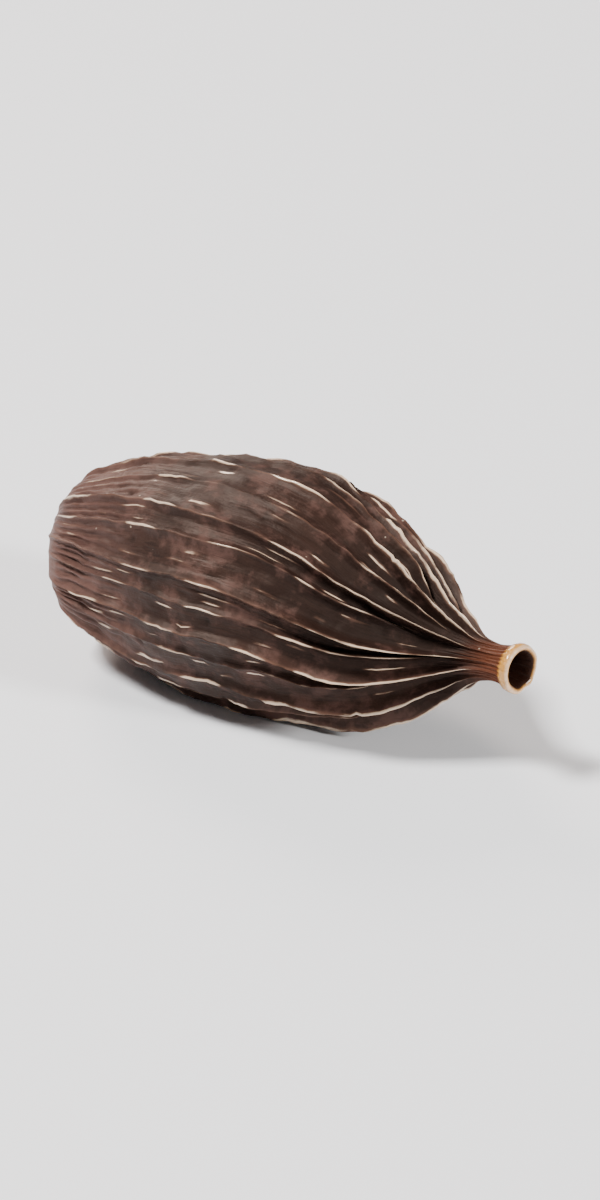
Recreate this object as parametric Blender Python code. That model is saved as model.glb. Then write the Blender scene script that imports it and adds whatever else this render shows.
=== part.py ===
# A dried black cardamom pod lying on its side. It is one ribbed capsule that narrows to a
# short hollow neck with a flared lip, and has the scar of its stalk at the blunt end.
# Metres, +Z up. The neck points to +X, and the pod rests on z = 0 under its middle.

import math
import random

import bmesh
import bpy
from mathutils import Matrix, Vector, noise

# Driving dimensions of the body
LENGTH = 0.0290  # from the blunt end to the lip
WIDTH = 0.0135  # across the body between the ribs
HEIGHT = 0.0125  # the body has dried a little flatter than it is wide
LOBE_RELIEF = 0.025  # the three seed chambers show as three soft corners
LUMP_RELIEF = 0.075  # uneven shrinking, as a share of the half width
LUMP_ROUND = 1.4  # how fast the lumps change round the pod and along it
LUMP_ALONG = 4.2
LUMP_START = 4.1  # moves the lumps along the pod
BODY_STARTS = (0.00, 0.10)  # where the round scar passes into the uneven body
BODY_ENDS = (0.78, 0.92)  # and where the body passes into the round neck

# The neck bends a little to one side
BEND_FROM = 0.52  # share of the length where the bend begins
NECK_SIDE = 0.0012  # how far the lip's centre lies to -Y
NECK_RISE = 0.0003  # how far it lies above the body's centre line
BODY_ARCH = 0.0008  # how far the body's middle stands above its ends
ARCH_TOP = 0.475  # share of the length where that arch is highest
SAG_DEPTH = 0.0012  # how far the narrowing half sags below that arch
SAG_ENDS = (0.42, 1.04)  # shares of the length between which it does so

# Ribs. Every second one is a main rib that runs on to the neck. The short rib between two
# of them leans over to one and dies out before the neck.
RIB_COUNT = 24
RIB_HEIGHT = 0.00060
RIB_TWIST = 0.16  # radians that the ribs turn from end to end
RIB_JITTER = 0.20  # unevenness of the spacing, as a share of it
RIB_WAVER = 0.26  # sideways waver of one rib, as a share of the spacing
WAVER_WAVES = 5.5  # bends along the pod
RIB_BEADS = 0.45  # unevenness of one rib's height, as a share of it
BEAD_WAVES = 13.0  # rises and dips along the pod
RIDGE_WIDTH = 0.15  # half width of a crest's narrow ridge, as a share of the spacing
RIDGE_SHARE = 0.62  # share of the height in that ridge; the hollow web has the rest
MAIN_HEIGHTS = (0.85, 1.10)  # range, as shares of RIB_HEIGHT
SHORT_HEIGHTS = (0.50, 0.85)
SHORT_ENDS = (0.80, 0.92)  # range of the share of the length where a short rib ends
SHORT_FADE = 0.11  # share of the length in which it dies out
SHORT_LEAN = 0.55  # how far it closes up to its main rib by then
LEAN_RUN = 0.26  # share of the length in which it does so
RIB_SEED = 41
# Before the neck the ribs close up, and their crests are taller, thinner and more even
FIN_HEIGHT = 0.00032
FIN_WIDTH = 0.12  # half width, as a share of the spacing
FIN_STARTS = (0.50, 0.74)  # shares of the length between which they grow
FIN_ENDS = (0.84, 0.91)  # and between which they end
FIN_CALM = 0.7  # how much of the waver and the beads is lost

# The neck's lip is a little ragged
LIP_RELIEF = 0.00005
LIP_STARTS = (0.95, 0.99)  # where along the neck that begins
LIP_WAVES = 1.9  # how fast it changes round the neck

# How the pod lies: the neck is up a little, so that its weight is over the place where it
# has dried flat
NECK_LIFT = 2.0  # degrees
FLAT_DEPTH = 0.00027
FLAT_BLEND = 0.00030  # height in which the flat spot rounds up into the sides

# The outline from the floor of the stalk scar to the floor of the neck's hollow. Each
# station is (share of the length, share of the half width, rib height, rows to the next).
OUTLINE = (
    (0.020, 0.000, 0.00, 1),
    (0.019, 0.085, 0.00, 1),
    (0.004, 0.125, 0.00, 1),
    (0.000, 0.190, 0.04, 1),
    (0.003, 0.345, 0.14, 2),
    (0.015, 0.505, 0.26, 2),
    (0.050, 0.660, 0.38, 3),
    (0.122, 0.795, 0.46, 4),
    (0.235, 0.915, 0.50, 4),
    (0.365, 0.985, 0.55, 4),
    (0.485, 0.975, 0.68, 4),
    (0.590, 0.850, 0.87, 4),
    (0.684, 0.670, 1.00, 3),
    (0.760, 0.480, 0.92, 3),
    (0.823, 0.285, 0.66, 2),
    (0.880, 0.172, 0.32, 2),
    (0.930, 0.135, 0.16, 2),
    (0.970, 0.155, 0.07, 1),
    (0.985, 0.196, 0.02, 1),
    (0.997, 0.195, 0.00, 1),
    (1.000, 0.170, 0.00, 1),
    (0.993, 0.137, 0.00, 1),
    (0.966, 0.114, 0.00, 1),
    (0.944, 0.089, 0.00, 1),
    (0.940, 0.000, 0.00, 0),
)
# Places of the mesh's columns between one rib and the next
COLUMNS = (0.0, 0.14, 0.36, 0.64, 0.86)


def smooth_step(low, high, value):
    """0 below low, 1 above high, and a smooth rise between them."""
    x = min(1.0, max(0.0, (value - low) / (high - low)))
    return x * x * (3 - 2 * x)


def outline_rows():
    """(along, out, rib height) for each row of the mesh, on a smooth curve through OUTLINE."""
    stations = [station[:3] for station in OUTLINE]
    rows = []
    for i, station in enumerate(OUTLINE[:-1]):
        before = stations[max(i - 1, 0)]
        after = stations[min(i + 2, len(stations) - 1)]
        for step in range(station[3]):
            t = step / station[3]
            rows.append(
                tuple(
                    0.5 * (2 * b + (c - a) * t + (2 * a - 5 * b + 4 * c - d) * t**2
                           + (3 * b - a - 3 * c + d) * t**3)
                    for a, b, c, d in zip(before, stations[i], stations[i + 1], after)
                )
            )
    rows.append(stations[-1])
    return rows


def make_ribs():
    """Each rib as (place round the pod, height, share of the length where it ends, side
    that it leans to). A main rib has no end and no side."""
    draw = random.Random(RIB_SEED)
    ribs = []
    for number in range(RIB_COUNT):
        place = number + draw.uniform(-RIB_JITTER, RIB_JITTER)
        if number % 2 == 0:
            ribs.append((place, draw.uniform(*MAIN_HEIGHTS), math.inf, 0))
        else:
            height, end = draw.uniform(*SHORT_HEIGHTS), draw.uniform(*SHORT_ENDS)
            ribs.append((place, height, end, draw.choice((-1, 1))))
    return ribs


def rib_noise(index, waves, along):
    """Smooth noise along one rib, between -1 and 1."""
    return noise.noise(Vector((index * 5.3, waves * along, waves)))


def calm(along):
    """How much of a rib's waver and beads is left at this share of the length."""
    return 1 - FIN_CALM * smooth_step(*FIN_STARTS, along)


def rib_place(ribs, number, along):
    """Where a rib's crest is round the pod, in spacings, counted on past a full turn."""
    turns, index = divmod(number, RIB_COUNT)
    place, _, end, lean = ribs[index]
    place += turns * RIB_COUNT
    place += RIB_WAVER * calm(along) * rib_noise(index, WAVER_WAVES, along)
    if lean:
        main_rib = rib_place(ribs, number + lean, along)
        place += (main_rib - place) * SHORT_LEAN * smooth_step(end - LEAN_RUN, end, along)
    return place


def rib_height(ribs, number, along):
    """A crest's height at this place, as a share of the outline's rib height."""
    index = number % RIB_COUNT
    _, height, end, _ = ribs[index]
    beads = 1 + RIB_BEADS * calm(along) * rib_noise(index, BEAD_WAVES, along)
    if end < math.inf:
        height *= 1 - smooth_step(end - SHORT_FADE, end, along)
    return height * beads


def crest_shape(distance):
    """How high the skin stands at a share of the spacing from a crest: a narrow ridge on
    a hollow web."""
    ridge = math.exp(-((distance / RIDGE_WIDTH) ** 2))
    return RIDGE_SHARE * ridge + (1 - RIDGE_SHARE) * (1 - distance) ** 2


def fin_shape(distance, along):
    """How high a fin stands at a share of the spacing from its crest."""
    grown = smooth_step(*FIN_STARTS, along) * (1 - smooth_step(*FIN_ENDS, along))
    return grown * math.exp(-((distance / FIN_WIDTH) ** 2))


def centre_line(along):
    """The centre of the section at this share of the length, and its three directions."""
    bend = max(0.0, (along - BEND_FROM) / (1 - BEND_FROM))
    from_top = 2 * (along - ARCH_TOP)
    arch = 1 - from_top**2
    sag_run = SAG_ENDS[1] - SAG_ENDS[0]
    sag_phase = math.pi * max(0.0, along - SAG_ENDS[0]) / sag_run
    rise = BODY_ARCH * arch + NECK_RISE * bend**2 - SAG_DEPTH * math.sin(sag_phase) ** 2
    centre = Vector((LENGTH * along, -NECK_SIDE * bend**2, rise))
    turn = 2 * bend / (1 - BEND_FROM)
    slope = -4 * BODY_ARCH * from_top + NECK_RISE * turn
    slope -= SAG_DEPTH * math.sin(2 * sag_phase) * math.pi / sag_run
    forward = Vector((LENGTH, -NECK_SIDE * turn, slope)).normalized()
    side = Vector((-forward.y, forward.x, 0)).normalized()
    return centre, forward, side, forward.cross(side)


def body_share(along):
    """1 on the body and 0 on the neck and the stalk scar, which stay round and even."""
    return smooth_step(*BODY_STARTS, along) * (1 - smooth_step(*BODY_ENDS, along))


def skin_point(ribs, row, facing, number, between):
    """A point of the skin: on this row, between the numbered rib and the next one."""
    along, out, relief = row
    centre, forward, side, up = centre_line(along)
    first, second = rib_place(ribs, number, along), rib_place(ribs, number + 1, along)
    place = first + (second - first) * between
    angle = 2 * math.pi * place / RIB_COUNT + RIB_TWIST * along
    body = body_share(along)
    flatness = 1 - (1 - HEIGHT / WIDTH) * body
    outward = side * math.cos(angle) + up * math.sin(angle) * flatness
    round_way = Vector((math.cos(angle), math.sin(angle), 0))
    lump_along = Vector((0, 0, LUMP_START + LUMP_ALONG * along))
    lump = noise.noise(round_way * LUMP_ROUND + lump_along)
    lobe = math.cos(3 * angle)
    swell = 1 + body * (LOBE_RELIEF * lobe + LUMP_RELIEF * lump)
    raised = 0
    for rib, distance in ((number, between), (number + 1, 1 - between)):
        height = RIB_HEIGHT * relief * crest_shape(distance)
        height += FIN_HEIGHT * fin_shape(distance, along)
        raised += rib_height(ribs, rib, along) * height
    radius = out * swell * WIDTH / 2
    ragged = LIP_RELIEF * smooth_step(*LIP_STARTS, along)
    ragged *= noise.noise(round_way * LIP_WAVES)
    return (
        centre
        + outward * (radius + raised * facing.y + ragged)
        + forward * (raised * facing.x + ragged)
    )


def row_facing(rows, index):
    """The way the outline faces at a row: x along the pod, y away from its centre line."""
    before, after = rows[max(index - 1, 0)], rows[min(index + 1, len(rows) - 1)]
    run = (after[0] - before[0]) * LENGTH
    rise = (after[1] - before[1]) * WIDTH / 2
    return Vector((-rise, run)).normalized()


def make_skin():
    """The closed skin of the pod, row by row from the stalk scar to the neck's hollow."""
    ribs, rows = make_ribs(), outline_rows()
    skin = bmesh.new()
    rings = []
    for index, row in enumerate(rows[1:-1], start=1):
        facing = row_facing(rows, index)
        rings.append(
            [
                skin.verts.new(skin_point(ribs, row, facing, number, between))
                for number in range(RIB_COUNT)
                for between in COLUMNS
            ]
        )
    for lower, upper in zip(rings, rings[1:]):
        for i in range(len(lower)):
            skin.faces.new((lower[i - 1], lower[i], upper[i], upper[i - 1]))
    scar_floor = skin.verts.new(centre_line(rows[0][0])[0])
    hollow_floor = skin.verts.new(centre_line(rows[-1][0])[0])
    for i in range(len(rings[0])):
        skin.faces.new((scar_floor, rings[0][i], rings[0][i - 1]))
        skin.faces.new((hollow_floor, rings[-1][i - 1], rings[-1][i]))
    return skin


def pressed(height):
    """Where a height over the surface ends up as the pod dries flat on it."""
    if height < 0:
        return 0
    if height < FLAT_BLEND:
        return height**2 / (2 * FLAT_BLEND)
    return height - FLAT_BLEND / 2


def settle(skin):
    """Sets the pod down on z = 0, with the middle of its box over the origin."""
    lift = Matrix.Rotation(-math.radians(NECK_LIFT), 3, "Y")
    bmesh.ops.rotate(skin, verts=skin.verts, cent=(0, 0, 0), matrix=lift)
    floor = min(v.co.z for v in skin.verts) + FLAT_DEPTH
    for vertex in skin.verts:
        vertex.co.z = pressed(vertex.co.z - floor)
    middle = [
        (min(v.co[axis] for v in skin.verts) + max(v.co[axis] for v in skin.verts)) / 2
        for axis in (0, 1)
    ]
    bmesh.ops.translate(skin, verts=skin.verts, vec=(-middle[0], -middle[1], 0))


def skin_material():
    material = bpy.data.materials.new("pod_skin")
    material.use_nodes = True
    shader = material.node_tree.nodes["Principled BSDF"]
    shader.inputs["Base Color"].default_value = (0.075, 0.047, 0.036, 1)
    shader.inputs["Roughness"].default_value = 0.55
    shader.inputs["Metallic"].default_value = 0.0
    return material


def make_pod():
    skin = make_skin()
    settle(skin)
    bmesh.ops.recalc_face_normals(skin, faces=skin.faces)
    mesh = bpy.data.meshes.new("pod")
    skin.to_mesh(mesh)
    skin.free()
    mesh.materials.append(skin_material())
    mesh.shade_smooth()
    mesh.set_sharp_from_angle(angle=math.radians(50))
    pod = bpy.data.objects.new("pod", mesh)
    bpy.context.scene.collection.objects.link(pod)
    return pod


def main():
    for old in list(bpy.data.objects):
        bpy.data.objects.remove(old)
    make_pod()


main()
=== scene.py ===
import math
import random

import bpy
from mathutils import Matrix, Vector, noise


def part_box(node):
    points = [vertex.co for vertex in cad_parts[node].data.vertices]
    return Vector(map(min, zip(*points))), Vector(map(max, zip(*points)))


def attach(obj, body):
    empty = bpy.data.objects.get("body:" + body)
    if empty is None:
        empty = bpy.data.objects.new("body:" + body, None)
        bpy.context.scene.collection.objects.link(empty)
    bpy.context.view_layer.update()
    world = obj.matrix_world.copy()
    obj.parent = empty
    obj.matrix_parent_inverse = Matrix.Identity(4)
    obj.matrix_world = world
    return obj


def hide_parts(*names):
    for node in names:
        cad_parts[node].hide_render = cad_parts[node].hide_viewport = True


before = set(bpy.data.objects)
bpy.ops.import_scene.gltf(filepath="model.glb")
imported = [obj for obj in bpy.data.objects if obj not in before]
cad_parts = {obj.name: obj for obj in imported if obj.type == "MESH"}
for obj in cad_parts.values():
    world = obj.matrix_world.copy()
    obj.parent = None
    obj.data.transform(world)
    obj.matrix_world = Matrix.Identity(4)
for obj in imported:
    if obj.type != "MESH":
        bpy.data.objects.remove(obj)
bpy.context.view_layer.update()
bpy.ops.object.select_all(action="DESELECT")
print("frame loaded")

# The pod's form. These are the solid's own values, in metres, so the fine skin lies on it.
pod = {
    "length": 0.0290,
    "width": 0.0135,
    "height": 0.0125,
    "lobeRelief": 0.025,
    "lumpRelief": 0.075,
    "lumpRound": 1.4,
    "lumpAlong": 4.2,
    "lumpStart": 4.1,
    "bodyStarts": (0.00, 0.10),
    "bodyEnds": (0.78, 0.92),
    "bendFrom": 0.52,
    "neckSide": 0.0012,
    "neckRise": 0.0003,
    "bodyArch": 0.0008,
    "archTop": 0.475,
    "sagDepth": 0.0012,
    "sagEnds": (0.42, 1.04),
    "lipRelief": 0.00005,
    "lipStarts": (0.95, 0.99),
    "lipWaves": 1.9,
    "neckLift": 2.0,
    "flatDepth": 0.00027,
    "flatBlend": 0.00030,
    # each station is (share of the length, share of the half width, rib height, rows)
    "outline": (
        (0.020, 0.000, 0.00, 1),
        (0.019, 0.085, 0.00, 1),
        (0.004, 0.125, 0.00, 1),
        (0.000, 0.190, 0.04, 1),
        (0.003, 0.345, 0.14, 2),
        (0.015, 0.505, 0.26, 2),
        (0.050, 0.660, 0.38, 3),
        (0.122, 0.795, 0.46, 4),
        (0.235, 0.915, 0.50, 4),
        (0.365, 0.985, 0.55, 4),
        (0.485, 0.975, 0.68, 4),
        (0.590, 0.850, 0.87, 4),
        (0.684, 0.670, 1.00, 3),
        (0.760, 0.480, 0.92, 3),
        (0.823, 0.285, 0.66, 2),
        (0.880, 0.172, 0.32, 2),
        (0.930, 0.135, 0.16, 2),
        (0.970, 0.155, 0.07, 1),
        (0.985, 0.196, 0.02, 1),
        (0.997, 0.195, 0.00, 1),
        (1.000, 0.170, 0.00, 1),
        (0.993, 0.137, 0.00, 1),
        (0.966, 0.114, 0.00, 1),
        (0.944, 0.089, 0.00, 1),
        (0.940, 0.000, 0.00, 0),
    ),
}
ribs = {
    "count": 24,
    "height": 0.00060,
    "twist": 0.16,
    "jitter": 0.20,
    "waver": 0.26,
    "waverWaves": 5.5,
    "beads": 0.45,
    "beadWaves": 13.0,
    "ridgeWidth": 0.15,
    "ridgeShare": 0.62,
    "mainHeights": (0.85, 1.10),
    "shortHeights": (0.50, 0.85),
    "shortEnds": (0.80, 0.92),
    "shortFade": 0.11,
    "shortLean": 0.55,
    "leanRun": 0.26,
    "seed": 41,
    "finHeight": 0.00032,
    "finWidth": 0.12,
    "finStarts": (0.50, 0.74),
    "finEnds": (0.84, 0.91),
    "finCalm": 0.7,
}
# What the fine skin adds to the solid. Heights are in metres, and waves are per millimetre.
skin = {
    "rowsEach": 3,  # rows of the mesh for each row of the solid
    "columns": 26,  # from one rib to the next
    "pinch": 0.35,  # how much closer the columns stand at a crest
    "edgeWidth": 0.060,  # a crest's sharp edge, as a share of the spacing
    "edgeHeight": 0.00013,
    "shakeWaves": 1.1,  # small waver of a crest
    "shake": 0.060,
    "nickWaves": 0.62,  # breaks in a crest
    "nickFiner": 2.7,  # how much finer the smaller breaks are
    "nicks": 0.55,
    "bluntRidge": 0.25,  # what is left of a rib at the blunt end itself
    "bluntRidgeEnd": 0.11,
    "nearWidth": 0.20,  # what is further than this from a crest is down between the ribs
    "dashSeed": 17,
    "dashHeight": 0.00010,
    "dashWidth": 0.074,  # half the width of a dash of wear and painted highlight, in millimetres
    "dashWidest": 0.095,  # the same, as a share of the spacing
    "dashFinest": 0.050,  # the same on the fins
    "dashLengths": (0.050, 0.150),  # along the pod, as shares of its length
    "dashGaps": (0.010, 0.110),
    "dashPowers": (0.42, 1.20),
    "dashTaper": (0.26, 0.50),  # a dash is whole between these shares of its own length
    "dashCatch": 1.3,  # how soon a rib is high enough to have them
    "dashFaint": 0.60,  # their strength at the blunt end
    "dashFade": (0.00, 0.38),  # they gain strength from there to here
    "dashEnds": (0.86, 0.95),  # and run out at the neck
    "finShine": 0.86,  # the line of wear and painted highlight along a fin
    "shortShine": 0.60,  # the same on a rib that runs out before the neck
    "finWaves": 14.0,
    "finShake": 1.1,
    "veinPlaces": ((0.25, 0.42), (0.58, 0.75)),
    "veinLengths": (0.035, 0.110),
    "veinGaps": (0.040, 0.240),
    "veinPowers": (0.32, 0.85),
    "veinWaves": 0.33,
    "veinWaver": 0.10,
    "bluntRibs": 2,  # fine ribs between two ribs at the blunt end
    "bluntHeight": 0.000110,
    "bluntStarts": (0.01, 0.08),
    "bluntEnds": (0.10, 0.34),
    "bluntShare": 0.55,  # they are weaker and stronger in patches
    "bluntPatches": 0.4,
    "bluntCurl": 2.5,
    "bluntCurlWaves": 0.5,
    "bluntGrooveShade": 0.55,
    "dentHeight": 0.00021,
    "dentAlong": 0.42,
    "dentRound": 0.28,
    "wrinkleHeight": 0.00012,
    "wrinkleAlong": 1.05,
    "wrinkleRound": 0.45,
    "wrinkleFiner": 2.3,
    "crumbHeight": 0.00006,
    "crumbWaves": 1.9,
    "pitDepth": 0.00012,
    "pitWaves": 0.60,
    "pitShare": 0.40,  # how many of the places have one
    "pitWidth": 0.14,
    "pitRim": 0.55,
    "pitRimPlace": 1.5,  # in widths of the pit
    "pitRimWidth": 0.5,
    "neckFlutes": 30,
    "fluteHeight": 0.000030,
    "fluteStarts": (0.80, 0.90),
    "fluteEnd": 17.8,  # a station of the outline, just under the lip
    "fluteCurl": 3,
    "fluteCurlWaves": 0.7,
    "wrap": 6,  # radius in millimetres that the fibres' pattern is wrapped round
}


def smoothStep(low, high, value):
    x = min(1.0, max(0.0, (value - low) / (high - low)))
    return x * x * (3 - 2 * x)


# Rows of (along, out, rib height, station) on the smooth curve through the outline.
def outlineRows(rowsEach):
    stations = [station[:3] for station in pod["outline"]]
    rows = []
    for i, station in enumerate(pod["outline"][:-1]):
        before = stations[max(i - 1, 0)]
        after = stations[min(i + 2, len(stations) - 1)]
        count = station[3] * rowsEach
        for step in range(count):
            t = step / count
            row = [
                0.5 * (2 * b + (c - a) * t + (2 * a - 5 * b + 4 * c - d) * t**2
                       + (3 * b - a - 3 * c + d) * t**3)
                for a, b, c, d in zip(before, stations[i], stations[i + 1], after)
            ]
            rows.append((*row, i + t))
    rows.append((*stations[-1], len(stations) - 1))
    return rows


def makeRibs():
    draw = random.Random(ribs["seed"])
    found = []
    for number in range(ribs["count"]):
        place = number + draw.uniform(-ribs["jitter"], ribs["jitter"])
        if number % 2 == 0:
            found.append((place, draw.uniform(*ribs["mainHeights"]), math.inf, 0))
        else:
            height, end = draw.uniform(*ribs["shortHeights"]), draw.uniform(*ribs["shortEnds"])
            found.append((place, height, end, draw.choice((-1, 1))))
    return found


def ribNoise(index, waves, along):
    return noise.noise(Vector((index * 5.3, waves * along, waves)))


def calm(along):
    return 1 - ribs["finCalm"] * smoothStep(*ribs["finStarts"], along)


def ribPlace(ribList, number, along):
    turns, index = divmod(number, ribs["count"])
    place, _, end, lean = ribList[index]
    place += turns * ribs["count"]
    place += ribs["waver"] * calm(along) * ribNoise(index, ribs["waverWaves"], along)
    if lean:
        mainRib = ribPlace(ribList, number + lean, along)
        leaning = smoothStep(end - ribs["leanRun"], end, along)
        place += (mainRib - place) * ribs["shortLean"] * leaning
    return place


def ribHeight(ribList, number, along):
    index = number % ribs["count"]
    _, height, end, _ = ribList[index]
    beads = 1 + ribs["beads"] * calm(along) * ribNoise(index, ribs["beadWaves"], along)
    if end < math.inf:
        height *= 1 - smoothStep(end - ribs["shortFade"], end, along)
    return height * beads


def finShape(distance, along):
    grown = smoothStep(*ribs["finStarts"], along) * (1 - smoothStep(*ribs["finEnds"], along))
    return grown * math.exp(-((distance / ribs["finWidth"]) ** 2))


def centreLine(along):
    bend = max(0.0, (along - pod["bendFrom"]) / (1 - pod["bendFrom"]))
    fromTop = 2 * (along - pod["archTop"])
    arch = 1 - fromTop**2
    sagRun = pod["sagEnds"][1] - pod["sagEnds"][0]
    sagPhase = math.pi * max(0.0, along - pod["sagEnds"][0]) / sagRun
    rise = pod["bodyArch"] * arch + pod["neckRise"] * bend**2
    rise -= pod["sagDepth"] * math.sin(sagPhase) ** 2
    centre = Vector((pod["length"] * along, -pod["neckSide"] * bend**2, rise))
    turn = 2 * bend / (1 - pod["bendFrom"])
    slope = -4 * pod["bodyArch"] * fromTop + pod["neckRise"] * turn
    slope -= pod["sagDepth"] * math.sin(2 * sagPhase) * math.pi / sagRun
    forward = Vector((pod["length"], -pod["neckSide"] * turn, slope)).normalized()
    side = Vector((-forward.y, forward.x, 0)).normalized()
    return centre, forward, side, forward.cross(side)


def bodyShare(along):
    return smoothStep(*pod["bodyStarts"], along) * (1 - smoothStep(*pod["bodyEnds"], along))


# All that the points of one ring of the skin share
def makeRing(ribList, wearAndGlintList, rows, index):
    along, out, relief, station = rows[index]
    before, after = rows[max(index - 1, 0)], rows[min(index + 1, len(rows) - 1)]
    run = (after[0] - before[0]) * pod["length"]
    rise = (after[1] - before[1]) * pod["width"] / 2
    centre, forward, side, up = centreLine(along)
    numbers = range(ribs["count"] + 1)
    spacing = max(0.01, math.pi * out * pod["width"] * 1000 / ribs["count"])
    finer = smoothStep(*ribs["finStarts"], along)
    widest = skin["dashWidest"] + (skin["dashFinest"] - skin["dashWidest"]) * finer
    return {
        "along": along,
        "out": out,
        "relief": relief,
        "station": station,
        "facing": Vector((-rise, run)).normalized(),
        "centre": centre,
        "forward": forward,
        "side": side,
        "up": up,
        "places": [ribPlace(ribList, n, along) + crestShake(along, n) for n in numbers],
        "heights": [ribHeight(ribList, n, along) for n in numbers],
        "nicks": [crestNick(along, n) for n in numbers],
        "dashes": [ribDash(ribList, wearAndGlintList, n, along) for n in numbers],
        "veins": [veinDashes(wearAndGlintList, n, along) for n in numbers],
        "dashWidth": min(widest, skin["dashWidth"] / spacing),
    }


# Small waver of a crest on top of the solid's, as a share of the spacing
def crestShake(along, number):
    mm = along * pod["length"] * 1000
    key = number % ribs["count"] * 3.7
    shake = noise.noise(Vector((key, mm * skin["shakeWaves"], 4.0)))
    return skin["shake"] * calm(along) * shake


# How much of a crest's height is left where it is broken
def crestNick(along, number):
    mm = along * pod["length"] * 1000
    index = number % ribs["count"]
    nick = noise.noise(Vector((index * 2.9, mm * skin["nickWaves"], 9.0)))
    finer = mm * skin["nickWaves"] * skin["nickFiner"]
    nick += 0.5 * noise.noise(Vector((index * 6.1, finer, 2.0)))
    return 1 + skin["nicks"] * calm(along) * min(0.2, nick)


# Dashes of wear and painted highlight one after another, each as its start, its end and how
# bright it is
def drawDashes(draw, lengths, gaps, powers):
    dashes = []
    start = draw.uniform(0.0, gaps[1])
    while start < 0.95:
        end = start + draw.uniform(*lengths)
        dashes.append((start, end, draw.uniform(*powers)))
        start = end + draw.uniform(*gaps)
    return dashes


# The dashes on each rib, and on the veins between it and the next
def makeWearAndGlints():
    draw = random.Random(skin["dashSeed"])
    found = []
    for _ in range(ribs["count"]):
        onRib = drawDashes(draw, skin["dashLengths"], skin["dashGaps"], skin["dashPowers"])
        veins = [
            (draw.uniform(*places),
             drawDashes(draw, skin["veinLengths"], skin["veinGaps"], skin["veinPowers"]))
            for places in skin["veinPlaces"]
        ]
        found.append((onRib, veins))
    return found


# A dash starts quickly and thins out towards its end.
def dashShare(dashes, along):
    whole, thins = skin["dashTaper"]
    for start, end, power in dashes:
        if start < along < end:
            share = (along - start) / (end - start)
            faint = skin["dashFaint"]
            fade = faint + (1 - faint) * smoothStep(*skin["dashFade"], along)
            return power * fade * smoothStep(0, whole, share) * (1 - smoothStep(thins, 1, share))
    return 0.0


def ribDash(ribList, wearAndGlintList, number, along):
    index = number % ribs["count"]
    _, height, end, _ = ribList[index]
    share = dashShare(wearAndGlintList[index][0], along) * min(1.0, height * skin["dashCatch"])
    fin = smoothStep(*ribs["finStarts"], along)
    fin *= 1 + skin["finShake"] * ribNoise(index, skin["finWaves"], along)
    if end < math.inf:
        share = max(share, fin * skin["shortShine"])
        share *= 1 - smoothStep(end - ribs["shortFade"], end, along)
    else:
        share = max(share, fin * skin["finShine"])
    return share * (1 - smoothStep(*skin["dashEnds"], along))


def veinDashes(wearAndGlintList, number, along):
    veins = []
    for i, (place, dashes) in enumerate(wearAndGlintList[number % ribs["count"]][1]):
        share = dashShare(dashes, along)
        if share > 0:
            waves = along * pod["length"] * 1000 * skin["veinWaves"]
            key = number * 2.3 + i * 41
            place += skin["veinWaver"] * noise.noise(Vector((key, waves, 1.0)))
            veins.append((place, share))
    return veins


# A small round pit with a raised rim: its height here, and how much of the pit is here for its
# painted shade
def pitShape(here):
    distances, points = noise.voronoi(here * skin["pitWaves"])
    chance = noise.cell(points[0] * 7.3)
    if chance > skin["pitShare"] * 2 - 1 or distances[0] > 3 * skin["pitWidth"]:
        return 0.0, 0.0
    share = distances[0] / skin["pitWidth"]
    pit = math.exp(-(share**2))
    fromRim = (share - skin["pitRimPlace"]) / skin["pitRimWidth"]
    return skin["pitRim"] * math.exp(-(fromRim**2)) - pit, pit


# Fine relief between the ribs, and how much of a groove or a pit is here to be darkened as
# painted shade
def fineRelief(ring, here, between, angle, body):
    web = math.sin(math.pi * between)
    across = Vector((here.x * skin["wrinkleAlong"], here.y * skin["wrinkleRound"],
                     here.z * skin["wrinkleRound"]))
    crease = 0.3 - abs(noise.noise(across))
    crease += 0.5 * (0.3 - abs(noise.noise(across * skin["wrinkleFiner"])))
    total = skin["wrinkleHeight"] * crease * (0.35 + 0.65 * web) * body
    broad = Vector((here.x * skin["dentAlong"], here.y * skin["dentRound"],
                    here.z * skin["dentRound"] + 5))
    total += skin["dentHeight"] * noise.noise(broad) * (0.3 + 0.7 * web) * body
    total += skin["crumbHeight"] * noise.noise(here * skin["crumbWaves"]) * (0.12 + body)
    height, groove = pitShape(here)
    total += skin["pitDepth"] * height * body
    groove *= body
    blunt = smoothStep(*skin["bluntStarts"], ring["along"])
    blunt *= 1 - smoothStep(*skin["bluntEnds"], ring["along"])
    blunt *= max(0.1, skin["bluntShare"] + noise.noise(here * skin["bluntPatches"]))
    if blunt > 0:
        curl = skin["bluntCurl"] * noise.noise(here * skin["bluntCurlWaves"])
        wave = math.cos(2 * math.pi * (skin["bluntRibs"] + 1) * between + curl)
        total += skin["bluntHeight"] * wave * blunt
        # the groove's share, darkened in the shader as painted shade
        groove = max(groove, (0.5 - 0.5 * wave) * blunt * skin["bluntGrooveShade"])
    neck = smoothStep(*skin["fluteStarts"], ring["along"]) * (ring["station"] < skin["fluteEnd"])
    if neck > 0:
        curl = skin["fluteCurl"] * noise.noise(here * skin["fluteCurlWaves"])
        flutes = math.sin(skin["neckFlutes"] * angle + curl)
        total += skin["fluteHeight"] * flutes * neck
    return total, groove
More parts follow.
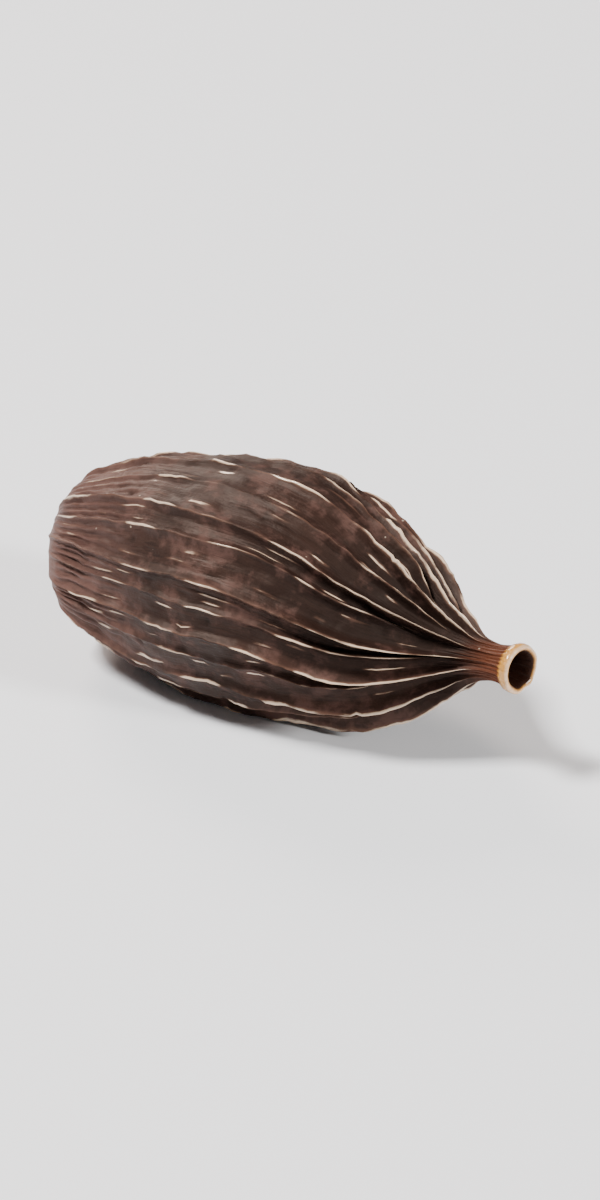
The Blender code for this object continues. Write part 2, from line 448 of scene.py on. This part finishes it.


# A point of the skin, and how much of it is a sharp edge, a dash of wear and painted highlight,
# down between ribs and a groove
def skinPoint(ring, number, between):
    along, relief, facing = ring["along"], ring["relief"], ring["facing"]
    first, second = ring["places"][number], ring["places"][number + 1]
    place = first + (second - first) * between
    angle = 2 * math.pi * place / ribs["count"] + ribs["twist"] * along
    dashWidth = ring["dashWidth"] / max(1.0, second - first)
    body = bodyShare(along)
    flatness = 1 - (1 - pod["height"] / pod["width"]) * body
    outward = ring["side"] * math.cos(angle) + ring["up"] * math.sin(angle) * flatness
    roundWay = Vector((math.cos(angle), math.sin(angle), 0))
    lumpAlong = Vector((0, 0, pod["lumpStart"] + pod["lumpAlong"] * along))
    lump = noise.noise(roundWay * pod["lumpRound"] + lumpAlong)
    swell = 1 + body * (pod["lobeRelief"] * math.cos(3 * angle) + pod["lumpRelief"] * lump)
    radius = ring["out"] * swell * pod["width"] / 2
    ridge = web = edge = fin = near = dash = 0.0
    for distance, end in ((between, number), (1 - between, number + 1)):
        height, nick = ring["heights"][end], ring["nicks"][end]
        fin += height * nick * finShape(distance, along)
        near = max(near, height * math.exp(-((distance / skin["nearWidth"]) ** 2)))
        ridge += height * nick * math.exp(-((distance / ribs["ridgeWidth"]) ** 2))
        edge += height * nick * math.exp(-distance / skin["edgeWidth"])
        web += height * (1 - distance) ** 2
        dash += ring["dashes"][end] * math.exp(-((distance / dashWidth) ** 2))
    blunt = skin["bluntRidge"]
    ridge *= blunt + (1 - blunt) * smoothStep(0.0, skin["bluntRidgeEnd"], along)
    raised = ribs["height"] * relief * (
        ribs["ridgeShare"] * ridge + (1 - ribs["ridgeShare"]) * web
    )
    raised += ribs["finHeight"] * fin
    raised += skin["edgeHeight"] * relief * edge * smoothStep(0.0, 0.12, along)
    edge *= smoothStep(0.0, 0.5, relief)
    for middle, share in ring["veins"][number]:
        dash += share * body * math.exp(-(((between - middle) / dashWidth) ** 2))
    raised += skin["dashHeight"] * dash * smoothStep(0.0, 0.08, along) * calm(along)
    here = Vector((along * pod["length"] * 1000, radius * 1000 * roundWay.x,
                   radius * 1000 * roundWay.y))
    fine, groove = fineRelief(ring, here, between, angle, body)
    raised += fine
    ragged = pod["lipRelief"] * smoothStep(*pod["lipStarts"], along)
    ragged *= noise.noise(roundWay * pod["lipWaves"])
    point = (
        ring["centre"]
        + outward * (radius + raised * facing.y + ragged)
        + ring["forward"] * (raised * facing.x + ragged)
    )
    # how far down between the ribs a point lies, for the painted shade there
    hollow = max(0.0, 1 - near) * min(1.0, relief)
    return point, {"edge": edge, "dash": dash, "hollow": hollow, "groove": groove}


def pressed(height):
    if height < 0:
        return 0
    if height < pod["flatBlend"]:
        return height**2 / (2 * pod["flatBlend"])
    return height - pod["flatBlend"] / 2


# Sets points of the pod down on z = 0 as the solid lies, from the skin's own extremes.
def makeSettle(points):
    lift = Matrix.Rotation(-math.radians(pod["neckLift"]), 3, "Y")
    turned = [lift @ p for p in points]
    floor = min(p.z for p in turned) + pod["flatDepth"]
    low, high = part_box("pod")
    middle = [(low[axis] + high[axis]) / 2 for axis in (0, 1)]
    skinMiddle = [
        (min(p[axis] for p in turned) + max(p[axis] for p in turned)) / 2 for axis in (0, 1)
    ]

    def settle(point):
        p = lift @ point
        return Vector((
            p.x - skinMiddle[0] + middle[0],
            p.y - skinMiddle[1] + middle[1],
            pressed(p.z - floor),
        ))

    return settle


# The share of the spacing at which a column of the mesh stands
def columnPlace(column):
    t = column / skin["columns"]
    return t - skin["pinch"] * math.sin(2 * math.pi * t) / (2 * math.pi)


# The skin starts as a sphere, whose rings and segments are then laid along the outline.
def makeSkin():
    ribList, wearAndGlintList, rows = makeRibs(), makeWearAndGlints(), outlineRows(skin["rowsEach"])
    rings = [makeRing(ribList, wearAndGlintList, rows, index) for index in range(len(rows))]
    segments = ribs["count"] * skin["columns"]
    bpy.ops.mesh.primitive_uv_sphere_add(
        segments=segments, ring_count=len(rows) - 1, radius=1, location=(0, 0, 0)
    )
    piece = bpy.context.active_object
    piece.name = "podSkin"
    mesh = piece.data
    places, ways = [], []
    stored = {name: [] for name in ("edge", "dash", "hollow", "groove", "along", "station")}
    for vertex in mesh.vertices:
        height = min(1.0, max(-1.0, vertex.co.z))
        index = round((1 - math.acos(height) / math.pi) * (len(rows) - 1))
        turn = math.atan2(vertex.co.y, vertex.co.x) / (2 * math.pi)
        segment = round(turn * segments) % segments
        number, column = divmod(segment, skin["columns"])
        between = columnPlace(column)
        ring = rings[index]
        if index in (0, len(rows) - 1):
            point, found = ring["centre"], {}
        else:
            point, found = skinPoint(ring, number, between)
        places.append(point)
        found.update(along=ring["along"], station=ring["station"])
        for name, values in stored.items():
            values.append(found.get(name, 0.0))
        whole = 2 * math.pi * (number + between) / ribs["count"]
        around = (skin["wrap"] * math.cos(whole), skin["wrap"] * math.sin(whole))
        ways.append((ring["along"] * pod["length"] * 1000, *around))
    settle = makeSettle(places)
    mesh.vertices.foreach_set("co", [c for point in places for c in settle(point)])
    for name, values in stored.items():
        layer = mesh.attributes.new(name, "FLOAT", "POINT")
        layer.data.foreach_set("value", values)
    layer = mesh.attributes.new("way", "FLOAT_VECTOR", "POINT")
    layer.data.foreach_set("vector", [c for way in ways for c in way])
    mesh.update()
    bpy.ops.object.shade_smooth()
    bpy.ops.object.select_all(action="DESELECT")
    print("skin made:", len(mesh.polygons), "faces")
    return piece


class Value:  # a shader socket that can be used in sums
    def __init__(self, shader, socket):
        self.shader = shader
        self.socket = socket

    def calc(self, operation, first, second):
        return self.shader.node("ShaderNodeMath", {"operation": operation}, {0: first, 1: second})

    def __add__(self, other):
        return self.calc("ADD", self, other)

    def __sub__(self, other):
        return self.calc("SUBTRACT", self, other)

    def __rsub__(self, other):
        return self.calc("SUBTRACT", other, self)

    def __mul__(self, other):
        return self.calc("MULTIPLY", self, other)


class Shader:  # a material's nodes
    def __init__(self, name):
        self.material = bpy.data.materials.new(name)
        self.material.use_nodes = True
        self.tree = self.material.node_tree
        self.surface = self.tree.nodes["Principled BSDF"]

    def node(self, kind, settings, inputs, output=0):
        made = self.tree.nodes.new(kind)
        for name, value in settings.items():
            setattr(made, name, value)
        for name, value in inputs.items():
            self.feed(made.inputs[name], value)
        return Value(self, made.outputs[output])

    def feed(self, socket, value):
        if isinstance(value, Value):
            self.tree.links.new(value.socket, socket)
        else:
            socket.default_value = value

    def set(self, **inputs):
        for name, value in inputs.items():
            self.feed(self.surface.inputs[name.replace("_", " ")], value)

    def stored(self, name):
        return self.node("ShaderNodeAttribute", {"attribute_name": name}, {}, "Fac")

    def storedVector(self, name):
        return self.node("ShaderNodeAttribute", {"attribute_name": name}, {}, "Vector")

    def noise(self, vector, scale, detail=3.0, roughness=0.55):
        inputs = {"Vector": vector, "Scale": scale, "Detail": detail, "Roughness": roughness}
        return self.node("ShaderNodeTexNoise", {}, inputs)

    def spots(self, vector, scale):
        return self.node("ShaderNodeTexVoronoi", {}, {"Vector": vector, "Scale": scale})

    # 0 below low, 1 above high
    def step(self, value, low, high):
        inputs = {"Value": value, "From Min": low, "From Max": high}
        return self.node("ShaderNodeMapRange", {"interpolation_type": "SMOOTHSTEP"}, inputs)

    def mix(self, factor, first, second):
        inputs = {0: factor, 6: first, 7: second}
        return self.node("ShaderNodeMix", {"data_type": "RGBA"}, inputs, 2)

    def stretch(self, vector, scale):
        inputs = {0: vector, 1: scale}
        return self.node("ShaderNodeVectorMath", {"operation": "MULTIPLY"}, inputs)


# A colour as it is picked on screen, made linear
def colour(red, green, blue):
    linear = [
        c / 12.92 if c <= 0.04045 else ((c + 0.055) / 1.055) ** 2.4
        for c in (red / 255, green / 255, blue / 255)
    ]
    return (*linear, 1)


husk = {
    # near-black of the painted shade between the ribs and in grooves and pits, and of dark
    # streaks
    "darkShadeAndStreak": colour(8, 4, 3),
    "umber": colour(33, 20, 16),
    "body": colour(47, 31, 26),
    "rose": colour(105, 76, 69),
    # brown of rubbed crests and of the halo round the dashes of wear and painted highlight
    "wearAndGlint": colour(110, 80, 66),
    # pale of the dashes of wear and painted highlight, and of the lip's rim
    "crest": colour(226, 200, 174),
    "neck": colour(96, 50, 30),
    # pinker pale of the dashes' painted highlight near the neck
    "blush": colour(186, 118, 84),
    "lip": colour(192, 136, 58),
    "mouth": colour(40, 19, 11),
    "fleck": colour(206, 190, 170),
    "crestRough": 0.24,
    "valleyRough": 0.52,
    "coatRough": 0.12,
    "shineLevel": 0.24,
    "shineTint": (1, 0.80, 0.70, 1),
    "bumpDepth": 0.00012,
    # how fine each pattern is, along the fibres and then in all directions
    "fibres": (0.30, 2.0, 2.0),
    "threads": (0.45, 6.0, 6.0),
    "fibreScale": 1.5,
    "patchScale": 190,
    "mottleScale": 900,
    "grainScale": 4600,
    "fleckScale": 1300,
    "fleckPatchScale": 500,
    # where a colour starts and is whole, along the pod
    "bluntFrom": (0.34, 0.04),
    # painted shade down between the ribs
    "shadeBetweenRibsFrom": (0.40, 0.78),
    "neckFrom": (0.87, 0.96),
    # the same, in stations of the outline
    "scarFrom": (2.2, 1.4),
    "lipFrom": (17.1, 17.9),
    "rimFrom": (18.7, 19.3),
    "rimTo": (20.2, 19.6),
    "mouthFrom": (20.0, 20.7),
}


def huskShader():
    s = Shader("podHusk")
    way = s.storedVector("way")
    here = s.node("ShaderNodeTexCoord", {}, {}, "Object")
    edge, dash = s.stored("edge"), s.stored("dash")
    hollow, groove = s.stored("hollow"), s.stored("groove")
    along, station = s.stored("along"), s.stored("station")
    strands = s.noise(s.stretch(way, husk["fibres"]), husk["fibreScale"], 3.0, 0.5)
    threads = s.noise(s.stretch(way, husk["threads"]), husk["fibreScale"], 3.0, 0.6)
    patches = s.noise(here, husk["patchScale"], 3.0, 0.5)
    mottle = s.noise(here, husk["mottleScale"], 4.0, 0.6)
    grain = s.noise(here, husk["grainScale"], 3.0, 0.6)
    tone = s.mix(s.step(patches + (strands - 0.5) * 0.4, 0.36, 0.64), husk["umber"], husk["body"])
    tone = s.mix(s.step(patches * 0.4 + mottle * 0.6, 0.49, 0.62) * 0.4, tone, husk["rose"])
    blunt = s.step(along + (strands - 0.5) * 0.12, *husk["bluntFrom"])
    tone = s.mix(blunt * 0.75, tone, husk["rose"])
    tone = s.mix(s.step(threads, 0.46, 0.34) * 0.38, tone, husk["darkShadeAndStreak"])
    # Painted shade: darker down between the ribs, more so towards the neck
    shadeBetweenRibs = s.step(hollow, 0.10, 0.80) * s.step(along, *husk["shadeBetweenRibsFrom"])
    tone = s.mix(shadeBetweenRibs * 0.48, tone, husk["darkShadeAndStreak"])
    # Painted shade in the grooves at the blunt end and in the pits
    tone = s.mix(groove * 0.7, tone, husk["darkShadeAndStreak"])
    neckShare = s.step(along + (strands - 0.5) * 0.08, *husk["neckFrom"])
    tone = s.mix(neckShare * 0.8, tone, husk["neck"])
    rubbed = s.step(edge, 0.25, 0.90) * s.step(patches * 0.5 + mottle * 0.5, 0.42, 0.56)
    tone = s.mix(rubbed * 0.45, tone, husk["wearAndGlint"])
    # Dashes along the crests: part real wear, part painted highlight in place of glints; a brown
    # halo, then a pale line that is pinker near the neck
    tone = s.mix(s.step(dash, 0.05, 0.50) * 0.5, tone, husk["wearAndGlint"])
    glint = s.step(dash + (threads - 0.5) * 1.0 + (mottle - 0.5) * 0.4, 0.28, 0.66)
    pale = s.mix(neckShare * 0.9, husk["crest"], husk["blush"])
    tone = s.mix(glint * 0.88, tone, pale)
    lip = s.step(station + (mottle - 0.5) * 0.4, *husk["lipFrom"])
    tone = s.mix(lip, tone, s.mix(s.step(patches, 0.46, 0.60) * 0.6, husk["lip"], husk["neck"]))
    rim = s.step(station + (mottle - 0.5) * 0.8, *husk["rimFrom"])
    rim = rim * s.step(station, *husk["rimTo"])
    tone = s.mix(rim * s.step(patches, 0.60, 0.42) * 0.55, tone, husk["crest"])
    mouth = s.step(station + (mottle - 0.5) * 0.3, *husk["mouthFrom"])
    tone = s.mix(mouth, tone, husk["mouth"])
    tone = s.mix(s.step(station, *husk["scarFrom"]), tone, husk["mouth"])
    flecks = s.step(s.spots(here, husk["fleckScale"]) + (grain - 0.5) * 0.1, 0.09, 0.05)
    flecks = flecks * s.step(s.noise(here, husk["fleckPatchScale"], 1.0), 0.64, 0.68)
    tone = s.mix(flecks * 0.5, tone, husk["fleck"])
    shine = s.step(glint + lip, 0.1, 0.8) * (1 - mouth)
    rough = husk["valleyRough"] - shine * (husk["valleyRough"] - husk["crestRough"])
    rough = rough + (mottle - 0.5) * 0.3 + (threads - 0.5) * 0.15 + shadeBetweenRibs * 0.15
    height = strands * 0.5 + threads * 0.20 + mottle * 0.45 + grain * 0.14
    bump = {"Strength": 1.0, "Distance": husk["bumpDepth"], "Height": height}
    s.set(Base_Color=tone, Roughness=rough, Normal=s.node("ShaderNodeBump", {}, bump))
    s.set(Coat_Weight=shine, Coat_Roughness=husk["coatRough"])
    s.set(Specular_IOR_Level=husk["shineLevel"], Specular_Tint=husk["shineTint"])
    return s.material


studio = {
    "turn": 33,
    "lift": 27,
    "lens": 150,
    "distance": 0.268,
    "aim": (0.0, 0.0, 0.0058),
    "lightDistance": 0.9,
    # each light's name, turn, lift, size, power and tint
    "lights": (
        ("keyLight", -50, 58, 0.20, 15.0, (1.0, 0.96, 0.92)),
        ("sideLight", 92, 24, 0.14, 10.0, (1.0, 0.97, 0.93)),
        ("rimLight", 235, 30, 0.30, 5.0, (1.0, 0.84, 0.74)),
    ),
    "air": (0.90, 0.88, 0.87, 1),
    "airStrength": 0.15,
    "floor": (0.90, 0.93, 0.98, 1),
    "floorRough": 0.6,
    "floorSize": 4,
}


def makeFloor():
    bpy.ops.mesh.primitive_plane_add(size=studio["floorSize"], location=(0, 0, 0))
    floor = bpy.context.active_object
    floor.name = "studioFloor"
    s = Shader("paleFloor")
    s.set(Base_Color=studio["floor"], Roughness=studio["floorRough"])
    floor.data.materials.append(s.material)
    bpy.ops.object.select_all(action="DESELECT")


def direction(turn, lift):
    t, e = math.radians(turn), math.radians(lift)
    return Vector((math.sin(t) * math.cos(e), -math.cos(t) * math.cos(e), math.sin(e)))


def makeCamera():
    back = direction(studio["turn"], studio["lift"])
    bpy.ops.object.camera_add(location=Vector(studio["aim"]) + back * studio["distance"])
    camera = bpy.context.active_object
    camera.rotation_euler = back.to_track_quat("Z", "Y").to_euler()
    camera.data.lens = studio["lens"]
    camera.data.clip_start = 0.01
    bpy.context.scene.camera = camera


def addLight(name, turn, lift, size, power, tint):
    back = direction(turn, lift)
    bpy.ops.object.light_add(type="AREA", location=back * studio["lightDistance"])
    light = bpy.context.active_object
    light.name = name
    light.rotation_euler = back.to_track_quat("Z", "Y").to_euler()
    light.data.size = size
    light.data.energy = power
    light.data.color = tint


def makeLights():
    for light in studio["lights"]:
        addLight(*light)
    world = bpy.data.worlds.new("studioAir")
    world.use_nodes = True
    air = world.node_tree.nodes["Background"].inputs
    air["Color"].default_value = studio["air"]
    air["Strength"].default_value = studio["airStrength"]
    bpy.context.scene.world = world


makeCamera()
podSkin = makeSkin()
podSkin.data.materials.clear()
podSkin.data.materials.append(huskShader())
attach(podSkin, "root")
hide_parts("pod")
print("pod dressed")
makeFloor()
makeLights()
print("studio ready")
